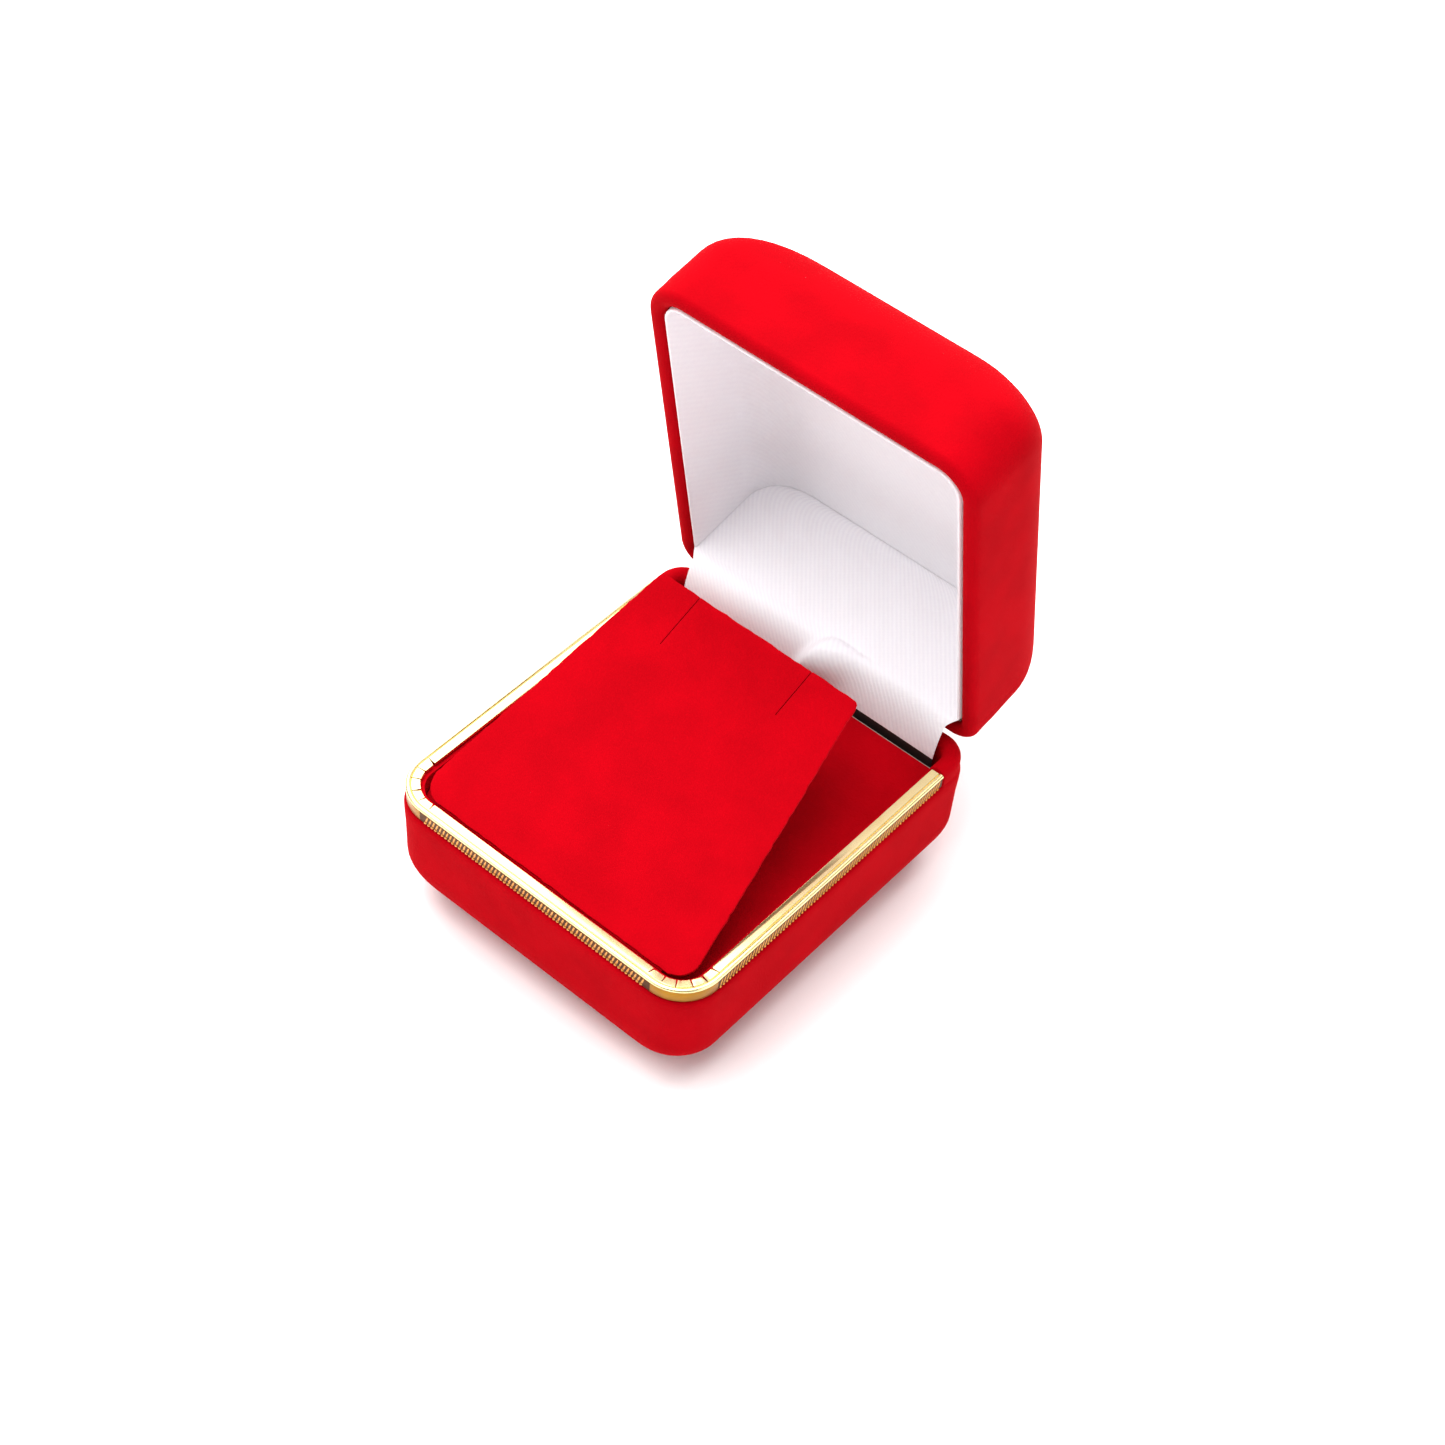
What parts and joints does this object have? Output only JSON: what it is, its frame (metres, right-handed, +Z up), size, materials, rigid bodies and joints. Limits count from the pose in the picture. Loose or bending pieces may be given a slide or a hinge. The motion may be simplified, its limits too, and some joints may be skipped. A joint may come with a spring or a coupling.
{
  "type": "hinged jewellery box",
  "caption": "Small velvet-covered ring box, shown open: metal-rimmed base with a lifting insert flap, satin-lined snap-shut lid and a satin strip over the spring hinge.",
  "frame": {"origin": "centre of the flat underside of the base, on the surface the box stands on", "axes": "+Z up, +Y from the front edge to the hinge, +X along the hinge pin to the right as seen from the front"},
  "size_m": [0.051, 0.0756, 0.0776],
  "materials": {
    "velvet_red": "flocked velvet, matt with a soft sheen",
    "satin_white": "twill-faced satin, soft sheen",
    "gold_trim": "bright gold lacquered metal",
    "spring_steel": "plain",
    "shell_plastic": "moulded",
    "board": "plain grey board",
    "foam": "soft open-cell foam"
  },
  "bodies": {
    "base": {"base_cover": "velvet_red", "base_shell": "shell_plastic", "rim_trim": "gold_trim", "foam_block": "foam", "insert_tray": "board", "insert_velvet": "velvet_red", "fold_web": "velvet_red", "hinge_base_leaf": "spring_steel", "hinge_pin": "spring_steel", "snap_spring": "spring_steel", "satin_tail": "satin_white"},
    "flap": {"flap_velvet": "velvet_red", "flap_card": "board"},
    "lid": {"lid_cover": "velvet_red", "lid_shell": "shell_plastic", "lid_liner_card": "board", "lid_satin_lining": "satin_white", "hinge_lid_leaf": "spring_steel", "back_panel_card": "board", "back_panel_satin": "satin_white"}
  },
  "joints": [
    {"name": "lid_hinge", "type": "hinge", "parent": "base", "child": "lid", "pos_m": [0, 0.0282, 0.02], "axis": [1, 0, 0], "range_deg": [0, 78.6], "deforming": ["snap_spring"]},
    {"name": "flap_fold", "type": "hinge", "parent": "base", "child": "flap", "pos_m": [0, -0.0258, 0.0194], "axis": [-1, 0, 0], "range_deg": [-2, 19]}
  ]
}
